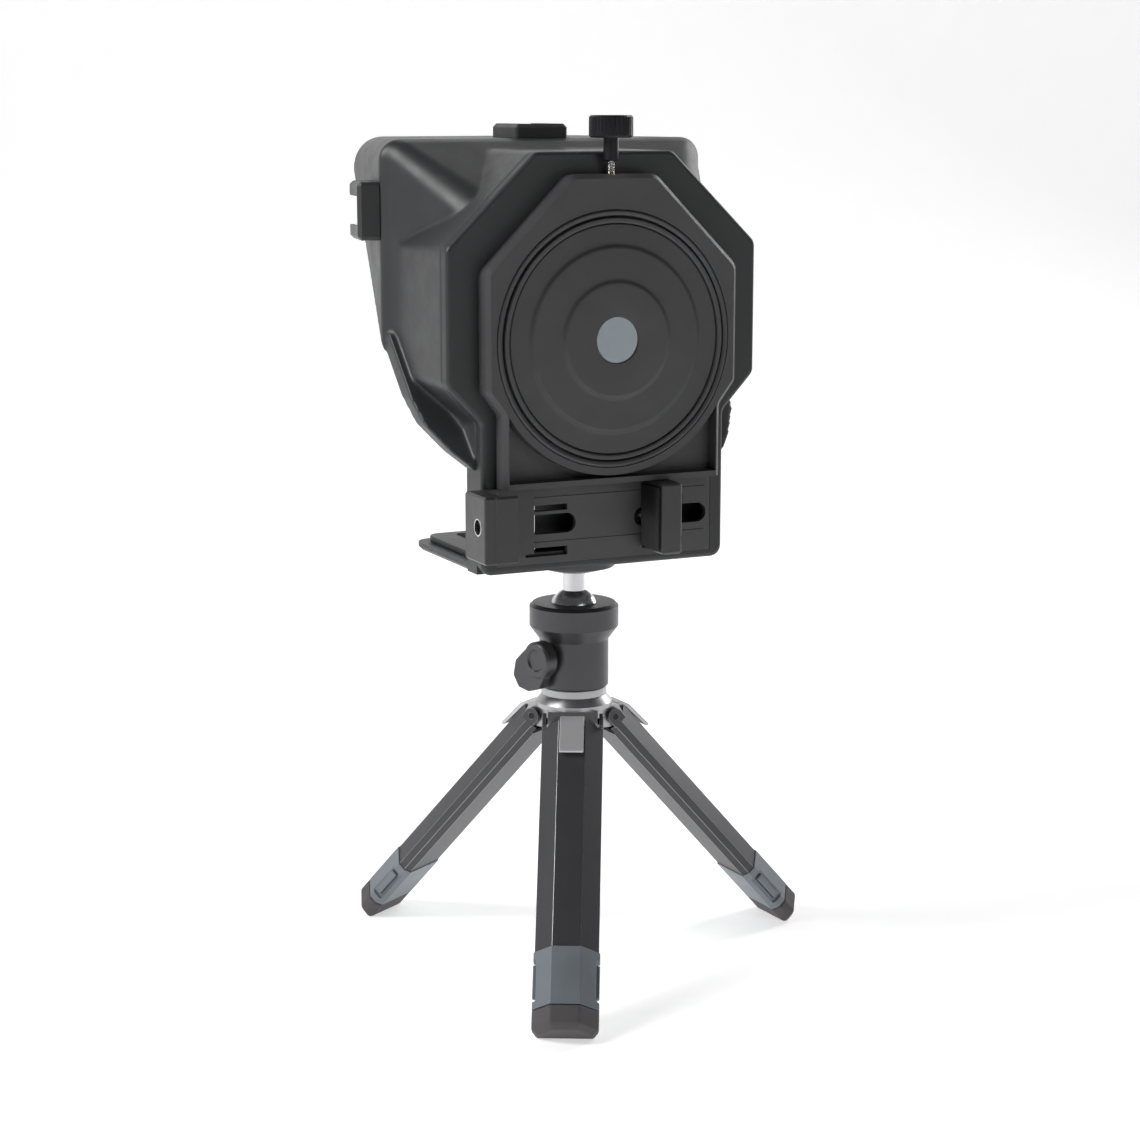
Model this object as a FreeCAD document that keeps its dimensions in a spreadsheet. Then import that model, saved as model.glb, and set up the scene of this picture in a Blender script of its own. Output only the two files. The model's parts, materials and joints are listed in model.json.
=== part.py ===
import FreeCAD, Part
import Sketcher
import math
import os

# A phone teleprompter: a light-tight hood with a 45 degree beam splitter, a lens board with a
# clamping ring, a phone clamp and a phone tray, carried by a small ball head on a folding tripod.
# +X is right when the object is seen from behind, +Y points to the speaker, +Z is up.
# The origin is the point on the floor under the tripod's axis. All lengths are millimetres.

doc = FreeCAD.newDocument("teleprompter")
sheet = doc.addObject("Spreadsheet::Sheet", "dim")

SIZES = {
    # head: the octagonal face, its neck and the slab below
    "axis_height": 282,        # lens axis above the floor
    "face_back": -31,          # rear face of the main frame
    "face_front": -25,         # where the frame meets the hood
    "octagon_half": 72.5,
    "octagon_top": 360,
    "octagon_top_half": 32,
    "octagon_high": 321,       # upper end of the vertical sides
    "octagon_low": 264,        # lower end of the vertical sides
    "neck_half": 57.5,
    "neck_top": 248,
    "neck_front": -15,
    "neck_shoulder": 228,
    "base_bottom": 183.5,
    "slab_top": 187,
    "slab_front": 48,
    "wall": 2.4,
    # hood sections, from the smallest behind to the mouth in front
    "hip_start": -22,
    "hip_half": 54,
    "hip_top": 338,
    "hip_end": 26.5,
    "hip_end_half": 74,
    "hip_end_top": 363.4,
    "crease": 31,
    "crease_half": 77.5,
    "crease_top": 364.6,
    "mouth": 105,
    "mouth_half": 61.5,
    "mouth_top": 364.6,
    "mouth_plane": 244,        # height of the 45 degree rim above the tripod's axis
    # raised lens board and what it holds
    "board_back": -40,
    "board_half": 58.6,
    "board_top": 350.7,
    "board_top_half": 19.6,
    "board_high": 311.7,
    "board_low": 262,
    "board_neck_half": 51,
    "board_neck": 252,
    "board_bottom": 221,
    "bore_r": 54.3,
    "boss_r": 57.5,
    "ring_r": 54.1,
    "shield_r": 48.3,
    "step_outer_r": 38.4,
    "step_inner_r": 23.8,
    "lens_hole_r": 9.5,
    "screw_y": -35.5,
    "knob_r": 9.25,
    # phone clamp
    "clamp_half": 51,
    "clamp_bottom": 186.8,
    "clamp_plate_front": -28.4,
    "slot_height": 204,
    "slot_r": 4.2,
    "slot_near": 14,
    "slot_far": 49,
    "left_jaw_bottom": 192.2,
    "right_jaw_bottom": 189.8,
    "jaw_top": 220.7,
    "left_jaw_back": -52.3,
    "right_jaw_back": -49.5,
    "thread_y": -43.8,
    "thread_z": 207.3,
    "left_phone_side": -55.5,
    "right_phone_side": 16.5,
    "pad_thick": 1.8,
    "left_stud": -40,
    "right_stud": 23,
    # cold shoes
    "shoe_length": 26,
    "shoe_half": 12.5,
    "shoe_height": 6.1,
    "side_shoe_height": 9.4,
    "shoe_slot_half": 9.35,
    "shoe_gap_half": 6.3,
    # ball head
    "quarter_inch_r": 3.175,
    "ball_r": 11,
    "ball_height": 158,
    "housing_r": 15.4,
    "housing_bottom": 124.5,
    "ring_bottom": 121,
    "ring_band_r": 14.6,
    "lever_height": 139,
    "platform_r": 18,
    # tripod
    "crown_r": 17,
    "crown_disc_bottom": 115.6,
    "pin_radius": 14,          # distance of each leg's hinge from the tripod's axis
    "pin_height": 111,
    "leg_tilt": 42,            # from the vertical, standing
    "first_leg": -117.5,       # direction of leg 1 around the axis
    "tube_length": 109.5,
    "sleeve_length": 25.5,
    "leg_length": 145.5,
    "leg_half": 13.5,
    "leg_outer": 8,
    "leg_flat_half": 6,
    "tube_wall": 1.5,
    "rim_half": 76,            # the bead along the hood's slanted edge
    "rim_depth": 12,
}
for row, (alias, value) in enumerate(SIZES.items(), start=1):
    sheet.set(f"A{row}", alias.replace("_", " "))
    sheet.set(f"B{row}", str(value))
    sheet.setAlias(f"B{row}", alias)
doc.recompute()


def size(expression):
    """The number that an expression such as 'wall * 2' has on the sheet."""
    value = sheet.evalExpression(str(expression))
    return float(getattr(value, "Value", value))


def on_sheet(expression):
    """The same expression, as another object of the document writes it."""
    words = []
    word = ""
    for letter in str(expression) + " ":
        if letter.isalnum() or letter in "_.":
            word += letter
            continue
        words.append("dim." + word if word in SIZES else word)
        words.append(letter)
        word = ""
    return "".join(words).strip()


def bind(obj, prop, expression):
    obj.setExpression(prop, on_sheet(expression))


parts = {}


def finish(name, obj):
    """Register a finished sub-part under the name of its file."""
    obj.Label = name
    parts[name] = obj
    return obj


# ---------------------------------------------------------------- sketches and features

def new_body(name):
    return doc.addObject("PartDesign::Body", name)


def new_sketch(body, role, offset):
    sketch = body.newObject("Sketcher::SketchObject", body.Name + "_outline")
    plane = [item for item in body.Origin.OriginFeatures if item.Role == role][0]
    sketch.AttachmentSupport = [(plane, "")]
    sketch.MapMode = "FlatFace"
    bind(sketch, "AttachmentOffset.Base.z", offset)
    return sketch


def fix_point(sketch, index, end, corner):
    for kind, expression in zip(("DistanceX", "DistanceY"), corner):
        row = sketch.addConstraint(Sketcher.Constraint(kind, index, end, size(expression)))
        bind(sketch, f"Constraints[{row}]", expression)


def polygon(body, role, offset, corners):
    """A closed sketch of straight lines with every corner held by the sheet."""
    sketch = new_sketch(body, role, offset)
    spots = [FreeCAD.Vector(size(across), size(up), 0) for across, up in corners]
    for index, spot in enumerate(spots):
        sketch.addGeometry(Part.LineSegment(spot, spots[(index + 1) % len(spots)]))
    for index, corner in enumerate(corners):
        following = (index + 1) % len(corners)
        sketch.addConstraint(Sketcher.Constraint("Coincident", index, 2, following, 1))
        fix_point(sketch, index, 1, corner)
    return sketch


def arch(body, offset, half, top, bottom, radius):
    """An upright outline across X with its two upper corners rounded."""
    sketch = new_sketch(body, "XZ_Plane", offset)
    corners = [
        (f"-({half})", bottom),
        (half, bottom),
        (half, f"{top} - {radius}"),
        (f"{half} - {radius}", top),
        (f"-({half}) + {radius}", top),
        (f"-({half})", f"{top} - {radius}"),
    ]
    spots = [FreeCAD.Vector(size(across), size(up), 0) for across, up in corners]
    lean = size(radius) * (1 - math.sqrt(0.5))
    right = FreeCAD.Vector(size(half) - lean, size(top) - lean, 0)
    left = FreeCAD.Vector(-size(half) + lean, size(top) - lean, 0)
    sketch.addGeometry(Part.LineSegment(spots[0], spots[1]))
    sketch.addGeometry(Part.LineSegment(spots[1], spots[2]))
    sketch.addGeometry(Part.Arc(spots[2], right, spots[3]))
    sketch.addGeometry(Part.LineSegment(spots[3], spots[4]))
    sketch.addGeometry(Part.Arc(spots[4], left, spots[5]))
    sketch.addGeometry(Part.LineSegment(spots[5], spots[0]))
    for index, end, corner in ((0, 1, 0), (0, 2, 1), (3, 1, 3), (3, 2, 4), (5, 1, 5), (1, 2, 2)):
        fix_point(sketch, index, end, corners[corner])
    for first, first_end, second, second_end in (
        (0, 2, 1, 1), (1, 2, 2, 1), (2, 2, 3, 1), (3, 2, 4, 1), (4, 2, 5, 1), (5, 2, 0, 1),
    ):
        sketch.addConstraint(Sketcher.Constraint("Coincident", first, first_end, second, second_end))
    for index in (2, 4):
        row = sketch.addConstraint(Sketcher.Constraint("Radius", index, size(radius)))
        bind(sketch, f"Constraints[{row}]", radius)
    return sketch


def pad(body, sketch, length):
    feature = body.newObject("PartDesign::Pad", body.Name + "_pad")
    feature.Profile = sketch
    bind(feature, "Length", length)
    return feature


def plate(name, back, front, corners):
    """A plate across Y from its back to its front, of any outline in X and Z."""
    body = new_body(name)
    pad(body, polygon(body, "XZ_Plane", f"-({front})", corners), f"{front} - ({back})")
    return body


def slab(name, bottom, top, corners):
    """A plate across Z, of any outline in X and Y."""
    body = new_body(name)
    pad(body, polygon(body, "XY_Plane", bottom, corners), f"{top} - ({bottom})")
    return body


def turned(name, corners, along="z"):
    """A turned piece: corners are (radius, place along the axis), around Z or around Y."""
    body = new_body(name)
    if along == "z":
        sketch = polygon(body, "XZ_Plane", "0", corners)
        role = "Z_Axis"
    else:
        sketch = polygon(body, "YZ_Plane", "0", [(place, radius) for radius, place in corners])
        role = "Y_Axis"
    feature = body.newObject("PartDesign::Revolution", body.Name + "_turn")
    feature.Profile = sketch
    axis = [item for item in body.Origin.OriginFeatures if item.Role == role][0]
    feature.ReferenceAxis = (axis, [""])
    feature.Angle = 360
    return body


def round_edges(body, radius, chosen, kind="Fillet"):
    """Round, or chamfer, the edges of a body's last feature that the test accepts."""
    doc.recompute()
    base = body.Tip
    names = [
        f"Edge{index}" for index, edge in enumerate(base.Shape.Edges, start=1) if chosen(edge)
    ]
    feature = body.newObject("PartDesign::" + kind, body.Name + "_edge")
    feature.Base = (base, names)
    bind(feature, "Radius" if kind == "Fillet" else "Size", radius)
    return feature


def runs_along(edge, axis):
    """True for a straight edge parallel to the axis."""
    ends = [vertex.Point for vertex in edge.Vertexes]
    if len(ends) != 2 or not isinstance(edge.Curve, Part.Line):
        return False
    direction = (ends[1] - ends[0]).normalize()
    return abs(abs(direction.dot(axis)) - 1) < 1e-6


X = FreeCAD.Vector(1, 0, 0)
Y = FreeCAD.Vector(0, 1, 0)
Z = FreeCAD.Vector(0, 0, 1)
UPRIGHT = FreeCAD.Rotation()
TOWARDS = {
    "z": UPRIGHT,
    "x": FreeCAD.Rotation(Y, 90),
    "y": FreeCAD.Rotation(X, -90),
}


def box(name, x0, x1, y0, y1, z0, z1):
    obj = doc.addObject("Part::Box", name)
    bind(obj, "Length", f"({x1}) - ({x0})")
    bind(obj, "Width", f"({y1}) - ({y0})")
    bind(obj, "Height", f"({z1}) - ({z0})")
    bind(obj, "Placement.Base.x", x0)
    bind(obj, "Placement.Base.y", y0)
    bind(obj, "Placement.Base.z", z0)
    return obj


def rod(name, x, y, z, radius, length, along="z"):
    """A cylinder that starts at a point and runs towards +X, +Y or +Z."""
    obj = doc.addObject("Part::Cylinder", name)
    obj.Placement = FreeCAD.Placement(FreeCAD.Vector(), TOWARDS[along])
    bind(obj, "Radius", radius)
    bind(obj, "Height", length)
    bind(obj, "Placement.Base.x", x)
    bind(obj, "Placement.Base.y", y)
    bind(obj, "Placement.Base.z", z)
    return obj


def peg(name, placement, radius, length):
    """A cylinder that starts at a placement and runs along its Z."""
    obj = doc.addObject("Part::Cylinder", name)
    obj.Placement = placement
    bind(obj, "Radius", radius)
    bind(obj, "Height", length)
    return obj


def fuse(name, shapes):
    obj = doc.addObject("Part::MultiFuse", name)
    obj.Shapes = shapes
    return obj


def cut(name, base, tools):
    obj = doc.addObject("Part::Cut", name)
    obj.Base = base
    obj.Tool = tools[0] if len(tools) == 1 else fuse(name + "_tools", tools)
    return obj


def common(name, first, second):
    obj = doc.addObject("Part::Common", name)
    obj.Base = first
    obj.Tool = second
    return obj


def bundle(name, shapes):
    """Identical fasteners as one sub-part of separate solids."""
    obj = doc.addObject("Part::Compound", name)
    obj.Links = shapes
    return obj


def mirrored(points):
    """The right-hand half of an outline, listed downwards, completed on the left."""
    return points + [(f"-({across})", up) for across, up in reversed(points)]


# ---------------------------------------------------------------- main frame

OCTAGON = [
    ("octagon_top_half", "octagon_top"),
    ("octagon_half", "octagon_high"),
    ("octagon_half", "octagon_low"),
    ("neck_half", "neck_top"),
]


def screw_holes(name, spots, back, length, radius):
    """Holes along +Y at each spot and at its mirror image."""
    return [
        rod(f"{name}_{index}", f"{side} * {across}", back, up, radius, length, "y")
        for index, (across, up, side) in enumerate(
            (across, up, side) for across, up in spots for side in (-1, 1)
        )
    ]


HOOD_SCREWS = [(56, 300), (56, 268)]
BOARD_SCREWS = [(37, 325.5), (54, 262)]


def main_frame():
    face = plate("frame_face", "face_back", "face_front", mirrored(OCTAGON + [("neck_half", "base_bottom")]))
    round_edges(face, 5, lambda edge: runs_along(edge, Y))
    round_edges(
        face, 2.2, lambda edge: abs(edge.BoundBox.YMax - size("face_back")) < 0.01
        and edge.BoundBox.ZMax > size("base_bottom") + 9,
    )
    neck = box(
        "frame_neck", "-neck_half", "neck_half", "face_front", "neck_front", "base_bottom", "neck_shoulder"
    )
    floor = slab("frame_floor", "base_bottom", "slab_top", [
        ("-neck_half", "neck_front"),
        ("neck_half", "neck_front"),
        ("neck_half", "slab_front"),
        ("-neck_half", "slab_front"),
    ])
    round_edges(floor, 9, lambda edge: runs_along(edge, Z) and edge.BoundBox.YMin > 0)
    round_edges(floor, 1.6, lambda edge: abs(edge.BoundBox.ZMax - size("base_bottom")) < 0.01
                and edge.BoundBox.YMax > size("neck_front") + 1, "Chamfer")
    tools = [
        rod("frame_bore", 0, "face_back - 1", "axis_height", "bore_r", 8, "y"),
        box("frame_recess", "-clamp_half - 0.15", "clamp_half + 0.15", "face_back - 1",
            "clamp_plate_front", "clamp_bottom", "board_bottom"),
        box("frame_window", "-clamp_half - 2", "clamp_half + 2", "clamp_plate_front - 0.01",
            "face_front + 1", "slot_height - 12.5", "slot_height + 12.5"),
        box("frame_cavity", "-neck_half + 3", "neck_half - 3", "face_front", "neck_front + 1",
            "slab_top + 0.5", "neck_shoulder - 2.5"),
        box("frame_rail_left", -29.2, -20.8, -8, 44, "slab_top - 2.3", "slab_top + 1"),
        box("frame_rail_right", 20.8, 29.2, -8, 44, "slab_top - 2.3", "slab_top + 1"),
        rod("frame_insert_hole", 0, 0, "base_bottom - 1", 4.3, 8),
    ]
    tools += screw_holes("frame_hood_hole", HOOD_SCREWS, "face_back - 1", 8, 1.4)
    tools += screw_holes("frame_hood_head", HOOD_SCREWS, "face_back - 1", 2.8, 2.8)
    tools += screw_holes("frame_board_hole", BOARD_SCREWS, "face_back - 1", 8, 1.4)
    finish("main_frame", cut("frame_casting", fuse("frame_blank", [face, neck, floor]), tools))


def neck_cover():
    """A plate that closes the neck's hollow from in front."""
    cover = box("cover_plate", "-neck_half + 3.1", "neck_half - 3.1", "neck_front - 2",
                "neck_front", "slab_top + 0.6", "neck_shoulder - 2.6")
    finish("neck_cover", cover)


# ---------------------------------------------------------------- hood

def hood_solid(name, inset, start):
    """The hood's solid shape, made smaller on every side by inset, from start forwards."""
    inset = f"({inset})"
    lift = f"{inset} * 1.05"
    collar = plate(name + "_collar", start, "hip_end", mirrored([
        (f"octagon_top_half - {inset} * 0.42", f"octagon_top - {inset}"),
        (f"octagon_half - {inset}", f"octagon_high - {inset} * 0.42"),
        (f"octagon_half - {inset}", f"octagon_low + {inset} * 0.42"),
        (f"neck_half - {inset}", f"neck_top + {inset} * 0.42"),
        (f"neck_half - {inset}", f"neck_shoulder + {inset}"),
    ]))
    round_edges(collar, 5, lambda edge: runs_along(edge, Y) and edge.BoundBox.ZMin > 240)
    loft_body = new_body(name + "_loft")
    sections = [
        arch(loft_body, f"-({place})", f"{half} - {lift}", f"{top} - {lift}", 232, radius)
        for place, half, top, radius in (
            ("hip_start", "hip_half", "hip_top", 13),
            ("hip_end", "hip_end_half", "hip_end_top", 8),
            ("crease", "crease_half", "crease_top", 9),
            ("mouth", "mouth_half", "mouth_top", 14),
        )
    ]
    loft = loft_body.newObject("PartDesign::AdditiveLoft", name + "_skin")
    loft.Profile = sections[0]
    loft.Sections = sections[1:]
    loft.Ruled = True
    bead = plate(name + "_bead", "face_front", "crease", mirrored([
        (f"rim_half - {inset}", "axis_height"),
        (f"rim_half - {inset}", f"256 + {inset} * 0.2"),
        (f"rim_half - 2 - {inset}", f"246 + {inset} * 0.4"),
        (f"rim_half - 10 - {inset} * 0.9", f"235 + {inset} * 0.7"),
        (f"neck_half + 1 - {inset} * 0.8", f"neck_shoulder + {inset}"),
    ]))
    band = slanted_slab(name + "_band", "mouth_plane - 20", f"mouth_plane + rim_depth - {inset}")
    return fuse(name + "_shape", [collar, loft_body, common(name + "_rim", bead, band)])


def slanted_slab(name, low, high, half=90):
    """Everything between two 45 degree planes, each given by its height over the axis."""
    body = new_body(name)
    reach = 130
    sketch = polygon(body, "YZ_Plane", f"-{half}", [
        (f"-{reach}", f"{low} - {reach}"),
        (reach, f"{low} + {reach}"),
        (reach, f"{high} + {reach}"),
        (f"-{reach}", f"{high} - {reach}"),
    ])
    pad(body, sketch, 2 * half)
    return body


def hood_shell():
    outside = hood_solid("hood_outside", 0, "face_front")
    inside = hood_solid("hood_inside", "wall", "face_front - 1")
    cutter = slanted_slab("hood_mouth_cut", "mouth_plane - 260", "mouth_plane")
    hollow = cut("hood_hollow", outside, [inside, cutter])
    bosses = []
    for index, (across, up) in enumerate(HOOD_SCREWS):
        for side, word in ((-1, "left"), (1, "right")):
            label = f"hood_boss_{word}_{index}"
            bosses.append(rod(label, f"{side} * {across}", "face_front", up, 3.6, 13, "y"))
            reach = ("octagon_half - wall / 2", f"{across} + 1")
            low, high = (f"-({reach[0]})", f"-({reach[1]})") if side < 0 else (reach[1], reach[0])
            bosses.append(box(label + "_rib", low, high, "face_front", "face_front + 13",
                              f"{up} - 1.2", f"{up} + 1.2"))
    holes = screw_holes("hood_pilot", HOOD_SCREWS, "face_front - 1", 11, 1.25)
    holes.append(rod("hood_board_relief", 0, "face_front - 1", "axis_height", "bore_r", 2, "y"))
    for place in SHOE_SCREWS:
        holes.append(rod(f"hood_top_pilot_{place}", 0, place, "crease_top - 6", 1.25, 9))
    holes += [side_shoe_hole(f"hood_side_pilot_{index}", index, 1.25) for index in (0, 1)]
    finish("hood_shell", cut("hood_moulding", fuse("hood_with_bosses", [hollow] + bosses), holes))


def glass_and_frame():
    """The frame sits just inside the slanted rim and holds the beam splitter in a rebate."""
    seat = common("frame_seat", hood_solid("glass_seat", "wall + 0.1", "face_front"),
                  slanted_slab("frame_slice", "mouth_plane + 1.2", "mouth_plane + 8"))
    window = hood_solid("glass_window", "wall + 6", "face_front")
    rebate = common("glass_rebate", hood_solid("glass_bed", "wall + 3", "face_front"),
                    slanted_slab("rebate_slice", "mouth_plane", "mouth_plane + 3.4"))
    finish("glass_frame", cut("glass_holder", seat, [window, rebate]))
    pane = common("glass_pane", hood_solid("glass_outline", "wall + 3.2", "face_front"),
                  slanted_slab("glass_slice", "mouth_plane + 1.7", "mouth_plane + 3.3"))
    finish("beam_splitter_glass", pane)


# ---------------------------------------------------------------- cold shoes

SHOE_SCREWS = (39, 51)


def shoe(name, height, length, rear_wall=3):
    """A cold shoe lying on its own XY plane, with its channel open towards +Y."""
    block = slab(name + "_block", 0, height, [
        ("-shoe_half", 0), ("shoe_half", 0), ("shoe_half", length), ("-shoe_half", length),
    ])
    round_edges(block, 2, lambda edge: runs_along(edge, Z) and edge.BoundBox.YMax < 1)
    round_edges(block, 1.6, lambda edge: edge.BoundBox.ZMin > size(height) - 0.01
                and edge.BoundBox.YMin < 5, "Chamfer")
    channel = box(name + "_channel", "-shoe_slot_half", "shoe_slot_half", rear_wall, f"{length} + 1",
                  f"{height} - 4", f"{height} - 1.7")
    gap = box(name + "_gap", "-shoe_gap_half", "shoe_gap_half", rear_wall, f"{length} + 1",
              f"{height} - 3", f"{height} + 1")
    tools = [channel, gap]
    for index, place in enumerate((SHOE_SCREWS[0] - 32, SHOE_SCREWS[1] - 32)):
        tools.append(rod(f"{name}_hole_{index}", 0, place, -1, 1.4, 6))
        tools.append(rod(f"{name}_sink_{index}", 0, place, f"{height} - 5.3", 2.6, 2))
    return cut(name + "_channelled", block, tools)


def side_wall_angle():
    return math.degrees(math.atan2(
        size("crease_half") - size("mouth_half"), size("mouth") - size("crease")
    ))


def side_placement(along=0.0, out=0.0):
    """A place on the hood's tapering left wall: along it, and out from it."""
    turn = FreeCAD.Rotation(Z, -side_wall_angle()) * FreeCAD.Rotation(Y, -90)
    corner = FreeCAD.Vector(-size("crease_half"), size("crease"), 334)
    return FreeCAD.Placement(corner, turn) * FreeCAD.Placement(FreeCAD.Vector(0, along, out), UPRIGHT)


def side_shoe_hole(name, index, radius):
    return peg(name, side_placement(7 + 12 * index, -6), radius, 9)


def flat_screw(name, placement, head_r, head, shank_r, length):
    """A screw whose head's top face is at its placement, pointing along -Z."""
    body = turned(name, [
        (0, 0), (head_r, 0), (head_r, f"-{head}"), (shank_r, f"-{head}"), (shank_r, f"-{length}"),
        (0, f"-{length}"),
    ])
    body.Placement = placement
    return body


def cold_shoes():
    top = shoe("top_channel", "shoe_height", "shoe_length")
    top.Placement = FreeCAD.Placement(FreeCAD.Vector(0, 32, size("crease_top")), UPRIGHT)
    finish("top_shoe", top)
    side = shoe("side_channel", "side_shoe_height", "shoe_length - 2")
    side.Placement = side_placement()
    finish("side_shoe", side)
    screws = []
    for index, place in enumerate(SHOE_SCREWS):
        top_floor = size("crease_top + shoe_height") - 4.1
        side_floor = size("side_shoe_height") - 4.1
        spot = FreeCAD.Placement(FreeCAD.Vector(0, place, top_floor), UPRIGHT)
        screws.append(flat_screw(f"top_shoe_screw_{index}", spot, 2.4, 1.2, 1.2, 6.5))
        screws.append(flat_screw(f"side_shoe_screw_{index}", side_placement(7 + 12 * index, side_floor),
                                 2.4, 1.2, 1.2, 8.5))
    finish("shoe_screws", bundle("shoe_screw_set", screws))


# ---------------------------------------------------------------- lens board

def lens_board():
    outline = mirrored([
        ("board_top_half", "board_top"),
        ("board_half", "board_high"),
        ("board_half", "board_low"),
        ("board_neck_half", "board_neck"),
        ("board_neck_half", "board_bottom"),
    ])
    board = plate("board_blank", "board_back", "face_back", outline)
    round_edges(board, 7, lambda edge: runs_along(edge, Y) and edge.BoundBox.ZMax > size("board_high") - 1)
    round_edges(board, 4, lambda edge: runs_along(edge, Y) and edge.BoundBox.ZMax < size("board_high") - 1
                and edge.BoundBox.ZMax > size("board_bottom") + 1 and edge.Length > 5)
    round_edges(
        board, 1.8, lambda edge: abs(edge.BoundBox.YMax - size("board_back")) < 0.01
        and edge.BoundBox.ZMax > size("board_bottom") + 1, "Chamfer",
    )
    pocket = slab("board_pocket_block", "board_bottom + 2.4", "axis_height - 15", [
        ("-board_neck_half + 2.2", "board_back - 1"),
        ("board_neck_half - 2.2", "board_back - 1"),
        ("board_neck_half - 2.2", "face_back - 2"),
        ("-board_neck_half + 2.2", "face_back - 2"),
    ])
    boss = rod("board_boss", 0, "board_back - 2", "axis_height", "boss_r", 12, "y")
    corner = cut("board_pockets", pocket, [boss])
    tools = [
        corner,
        rod("board_bore", 0, "board_back - 1", "axis_height", "bore_r", 12, "y"),
        rod("board_insert_hole", 0, "screw_y", "board_top - 7", 3.05, 9),
        rod("board_pin_hole", 0, "screw_y", "axis_height + bore_r - 2", 1.6, 14),
    ]
    tools += screw_holes("board_pilot", BOARD_SCREWS, "face_back - 5", 6, 1.25)
    finish("lens_board", cut("board_machined", board, tools))


def at_lens_axis(obj):
    bind(obj, "Placement.Base.z", "axis_height")
    return obj


def lens_ring():
    """A clamping ring with a groove round its face and a seat for the shield."""
    ring = turned("ring_profile", [
        ("shield_r + 0.3", "board_back - 0.2"),
        ("shield_r + 0.9", "board_back - 0.8"),
        ("shield_r + 2.4", "board_back - 0.8"),
        ("shield_r + 2.6", "board_back - 0.2"),
        ("shield_r + 2.6", "board_back + 2.4"),
        ("shield_r + 3.4", "board_back + 2.4"),
        ("shield_r + 3.4", "board_back"),
        ("ring_r - 1.2", "board_back - 0.6"),
        ("ring_r - 0.4", "board_back - 0.4"),
        ("ring_r", "board_back + 0.4"),
        ("ring_r", "face_back - 0.5"),
        ("ring_r - 3", "face_front + 2.5"),
        ("shield_r - 3", "face_front + 2.5"),
        ("shield_r - 3", "board_back + 3.6"),
        ("shield_r + 0.3", "board_back + 3.6"),
    ], "y")
    finish("lens_ring", at_lens_axis(ring))


def lens_shield():
    """A rubber light shield that steps towards the camera as it closes round the lens."""
    thick = 1.5
    steps = [("shield_r", "board_back - 0.1")]
    for radius, proud in (("step_outer_r", 1.4), ("step_inner_r", 1.3)):
        level = steps[-1][1]
        steps.append((f"{radius} + 1.4", level))
        steps.append((radius, f"{level} - {proud}"))
    steps.append(("lens_hole_r", steps[-1][1]))
    rear = [(radius, f"{level} + {thick}") for radius, level in reversed(steps)]
    finish("lens_shield", at_lens_axis(turned("shield_profile", steps + rear, "y")))


KNOB_FLUTES = 34


def clamp_screw():
    """The thumbscrew that presses on the lens ring through the board's top edge."""
    insert = turned("insert_profile", [
        (1.6, "board_top - 6.9"), (3, "board_top - 6.9"), (3, "board_top - 0.1"),
        (1.6, "board_top - 0.1"),
    ])
    bind(insert, "Placement.Base.y", "screw_y")
    finish("thread_insert", insert)
    pin = turned("pin_profile", [
        (0, "axis_height + ring_r + 0.4"), (1, "axis_height + ring_r + 0.4"),
        (1.5, "axis_height + ring_r + 1.2"), (1.5, 371.5), (0, 371.5),
    ])
    bind(pin, "Placement.Base.y", "screw_y")
    finish("thumbscrew_pin", pin)
    knob = turned("knob_profile", [
        (1.55, 356), (2.6, 356), (3.2, 356.6), (3.2, 365.6), (8.5, 365.6), ("knob_r", 366.4),
        ("knob_r", 374), (8.5, 374.8), (0, 374.8), (0, 371.55), (1.55, 371.55),
    ])
    bind(knob, "Placement.Base.y", "screw_y")
    flutes = []
    for index in range(KNOB_FLUTES):
        angle = 2 * math.pi * index / KNOB_FLUTES
        reach = size("knob_r") + 0.15
        spot = FreeCAD.Vector(reach * math.cos(angle), size("screw_y") + reach * math.sin(angle), 365)
        flutes.append(peg(f"knob_flute_{index}", FreeCAD.Placement(spot, UPRIGHT), 0.45, 11))
    finish("thumbscrew_knob", cut("knob_knurled", knob, flutes))


def board_screws():
    turn = FreeCAD.Rotation(X, -90)
    screws = []
    for index, (across, up) in enumerate(BOARD_SCREWS):
        for side in (-1, 1):
            spot = FreeCAD.Vector(side * across, size("face_front") + 1.6, up)
            screws.append(flat_screw(f"board_screw_{index}_{side + 1}",
                                     FreeCAD.Placement(spot, turn), 2.4, 1.6, 1.2, 12))
    finish("board_screws", bundle("board_screw_set", screws))
    screws = []
    for index, (across, up) in enumerate(HOOD_SCREWS):
        for side in (-1, 1):
            spot = FreeCAD.Vector(side * across, size("face_back") + 0.1, up)
            screws.append(flat_screw(f"hood_screw_{index}_{side + 1}",
                                     FreeCAD.Placement(spot, FreeCAD.Rotation(X, 90)), 2.6, 1.5, 1.2, 14))
    finish("hood_screws", bundle("hood_screw_set", screws))


# ---------------------------------------------------------------- phone clamp

def slot_tool(name, side):
    near, far = f"{side} * (slot_near + slot_r)", f"{side} * (slot_far - slot_r)"
    low, high = (near, far) if side > 0 else (far, near)
    return [
        rod(name + "_near", near, "face_back - 1", "slot_height", "slot_r", 6, "y"),
        rod(name + "_far", far, "face_back - 1", "slot_height", "slot_r", 6, "y"),
        box(name + "_middle", low, high, "face_back - 1", "face_back + 5", "slot_height - slot_r",
            "slot_height + slot_r"),
    ]


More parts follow.
